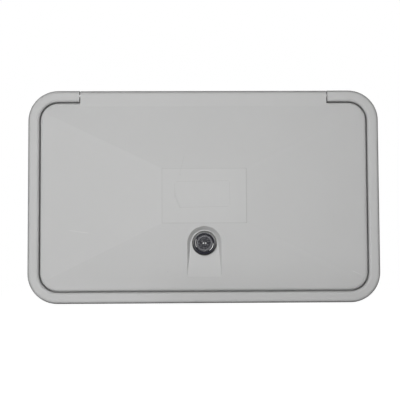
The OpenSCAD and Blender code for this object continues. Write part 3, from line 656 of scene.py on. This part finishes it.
def makeLockFace(look):
    low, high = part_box("lock_plug")
    middle = ((low.x + high.x) / 2, low.y, (low.z + high.z) / 2)
    upright = (math.pi / 2, 0, 0)
    f = Former("faceBead", {"radius": look["bead"], "thick": look["beadThick"]})
    path = f.hoop(look["beadCorners"][0], f.size("radius"))
    wound = {"Curve": path, "Profile Curve": f.hoop(look["beadCorners"][1], f.size("thick"))}
    bead = f.add("GeometryNodeCurveToMesh", None, wound)
    f.make(f.place(bead, middle, upright), materials["beadMetal"], "lock_core", "lock_metal")
    f = Former("faceTicks", {"reach": look["tickReach"]})
    tick = f.add("GeometryNodeMeshCube", None, {"Size": look["tickSize"]})
    ticks = f.ring(tick, look["ticks"], f.size("reach"))
    f.make(f.place(ticks, middle, upright), materials["lockMetal"], "lock_core", "lock_metal")
    mesh = bpy.data.meshes.new("keyShutter")
    b = bmesh.new()
    bmesh.ops.create_cube(b, size=1.0)
    bmesh.ops.scale(b, vec=look["shutter"], verts=b.verts)
    bmesh.ops.translate(b, vec=(middle[0], middle[1] + look["shutterDeep"], middle[2]), verts=b.verts)
    bmesh.ops.bevel(b, geom=b.edges[:], offset=look["shutterEdge"], segments=2, affect="EDGES")
    b.to_mesh(mesh)
    b.free()
    mesh.materials.append(materials["shutterMetal"])
    addPiece("keyShutter", mesh, "lock_core")


def makeLabel(look):
    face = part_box("door")[0].y - look["thick"] * 0.6
    half = Vector((look["width"] / 2, look["height"] / 2))
    straight = half - Vector((look["corner"], look["corner"]))
    start, end = (Vector(p) for p in look["tear"])
    across = Vector((-(end - start).y, (end - start).x)).normalized()
    b = bmesh.new()
    bmesh.ops.create_grid(b, x_segments=look["cells"][0], y_segments=look["cells"][1], size=0.5)
    bmesh.ops.scale(b, vec=(look["width"], look["height"], 1), verts=b.verts)
    for v in b.verts:  # the corners pulled in to their rounding
        out = Vector((max(abs(v.co.x) - straight.x, 0), max(abs(v.co.y) - straight.y, 0)))
        if out.x > 0 and out.y > 0:
            out *= max(out) / out.length
            v.co.x = math.copysign(straight.x + out.x, v.co.x)
            v.co.y = math.copysign(straight.y + out.y, v.co.y)
    cut = {"plane_co": (start.x, start.y, 0), "plane_no": (across.x, across.y, 0)}
    cut["clear_inner"] = across.x > 0  # the torn corner goes
    cut["clear_outer"] = across.x <= 0
    bmesh.ops.bisect_plane(b, geom=b.verts[:] + b.edges[:] + b.faces[:], dist=1e-7, **cut)
    turn = Matrix.Rotation(math.radians(look["turn"]), 2)
    for v in b.verts:
        flat = Vector((v.co.x, v.co.y))
        near = abs((flat - start).dot(across)) / look["liftReach"]
        rise = look["lift"] * max(0.0, 1 - near) ** 2
        wave = look["wave"] * math.sin(flat.x * look["waves"][0]) * math.sin(flat.y * look["waves"][1] + 1)
        flat = turn @ flat
        v.co = (flat.x + look["centre"][0], face - rise - abs(wave), flat.y + look["centre"][1])
    bmesh.ops.recalc_face_normals(b, faces=b.faces[:])
    if b.faces[0].normal.y > 0:
        bmesh.ops.reverse_faces(b, faces=b.faces[:])
    mesh = bpy.data.meshes.new("label")
    b.to_mesh(mesh)
    b.free()
    mesh.materials.append(materials["labelPaper"])
    label = bpy.data.objects.new("label", mesh)
    bpy.context.scene.collection.objects.link(label)
    wall = label.modifiers.new("wall", "SOLIDIFY")
    wall.thickness = look["thick"]
    wall.offset = -1.0
    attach(label, "door_leaf")


makeThreads(threadLook)
makeKnurls(knurlLook)
makeLockFace(lockFace)
makeLabel(labelLook)
print("threads, knurls, lock face and label made")

# Camera: a little left of and below the middle, rolled by a quarter of a degree
cameraLook = {
    "place": (-0.014, -0.85, -0.046),
    "target": (0.0, 0.0, 0.0),
    "roll": -0.29,
    "pixelsAcross": 400,
    "focalPixels": 844.5,
    "targetPixel": (203.9, 196.8),
    "sensorWidth": 36.0,
    "clipStart": 0.02,
}


def makeCamera(look):
    lens = bpy.data.cameras.new("camera")
    lens.sensor_width = look["sensorWidth"]
    lens.lens = look["focalPixels"] * lens.sensor_width / look["pixelsAcross"]
    lens.clip_start = look["clipStart"]
    lens.shift_x = (look["pixelsAcross"] / 2 - look["targetPixel"][0]) / look["pixelsAcross"]
    lens.shift_y = (look["targetPixel"][1] - look["pixelsAcross"] / 2) / look["pixelsAcross"]
    camera = bpy.data.objects.new("camera", lens)
    bpy.context.scene.collection.objects.link(camera)
    place = Vector(look["place"])
    aim = (Vector(look["target"]) - place).to_track_quat("-Z", "Y").to_matrix().to_4x4()
    roll = Matrix.Rotation(math.radians(look["roll"]), 4, "Z")
    camera.matrix_world = Matrix.Translation(place) @ aim @ roll
    bpy.context.scene.camera = camera


makeCamera(cameraLook)

# Lamps: two in front, a soft one at the left, a weak one above, and two behind for the other views
lampLook = {
    "front": {"place": (-0.08, -0.98, 0.1), "size": 0.3, "power": 3.73},
    "frontFar": {"place": (0.0, -2.2, 0.0), "size": 1.0, "power": 14.5},
    "left": {"place": (-0.9, -1.3, 0.05), "size": 0.7, "power": 5.7},
    "above": {"place": (-0.1, -1.2, 1.2), "size": 0.8, "power": 1.2},
    "backLeft": {"place": (-0.7, 1.8, 0.2), "size": 1.2, "power": 22.0},
    "backRight": {"place": (0.8, 1.8, 0.15), "size": 1.2, "power": 16.0},
}
worldLook = {"seen": 1.0, "ambient": 0.02}


def makeLamps(lamps):
    for name, look in lamps.items():
        lamp = bpy.data.lights.new(name, "AREA")
        lamp.size = look["size"]
        lamp.energy = look["power"]
        holder = bpy.data.objects.new(name, lamp)
        bpy.context.scene.collection.objects.link(holder)
        holder.location = look["place"]
        holder.rotation_euler = (-Vector(look["place"])).to_track_quat("-Z", "Y").to_euler()
        holder.visible_camera = False
        holder.visible_glossy = not name.startswith("back")


def makeWorld(look):
    world = bpy.data.worlds.new("studio")
    bpy.context.scene.world = world
    world.use_nodes = True
    tree = world.node_tree
    tree.nodes.clear()
    f = Graph()
    f.tree = tree
    seen = f.add("ShaderNodeLightPath", output="Is Camera Ray")
    rays = seen.socket.node.outputs
    seen = seen.most(Wire(f, rays["Is Glossy Ray"])).most(Wire(f, rays["Is Transmission Ray"]))
    strength = f.add("ShaderNodeMapRange", None, {0: seen, 3: look["ambient"], 4: look["seen"]})
    background = f.add("ShaderNodeBackground", None, {0: (1.0, 1.0, 1.0, 1.0), 1: strength})
    f.add("ShaderNodeOutputWorld", None, {0: background})


# A pale floor that glows white to the camera and darkens a little under the object
floorLook = {
    "depth": -0.45,
    "reach": 6.0,
    "tones": ((0.38, 0.38, 0.38), (0.42, 0.42, 0.42)),
    "glow": 0.85,
    "glowAway": (0.5, 1.0),
}


def makeFloor(look):
    f = Finish("floorPaint")
    rays = f.add("ShaderNodeLightPath", output="Is Camera Ray")
    tone = f.noise(0.5, 2.0)
    plain = f.add("ShaderNodeBsdfDiffuse", values={0: f.mix(tone, *look["tones"])})
    away = f.add("ShaderNodeVectorMath", {"operation": "LENGTH"}, {0: f.place()}, "Value")
    glow = look["glow"] + away.ramp(*look["glowAway"]) * (1 - look["glow"])
    white = f.add("ShaderNodeEmission", values={0: (1.0, 1.0, 1.0, 1.0), 1: glow})
    both = f.add("ShaderNodeAddShader", values={0: plain, 1: white})
    picked = f.add("ShaderNodeMixShader", values={0: rays, 1: plain, 2: both})
    f.add("ShaderNodeOutputMaterial", values={0: picked})
    mesh = bpy.data.meshes.new("floor")
    sides = [Vector(side) * look["reach"] for side in ((-1, -1), (1, -1), (1, 1), (-1, 1))]
    mesh.from_pydata([(side.x, side.y, look["depth"]) for side in sides], [], [(0, 1, 2, 3)])
    mesh.materials.append(f.material)
    floor = bpy.data.objects.new("floor", mesh)
    bpy.context.scene.collection.objects.link(floor)


makeLamps(lampLook)
makeWorld(worldLook)
makeFloor(floorLook)
bpy.context.scene.view_settings.view_transform = "Standard"
print("camera, lamps and floor set")
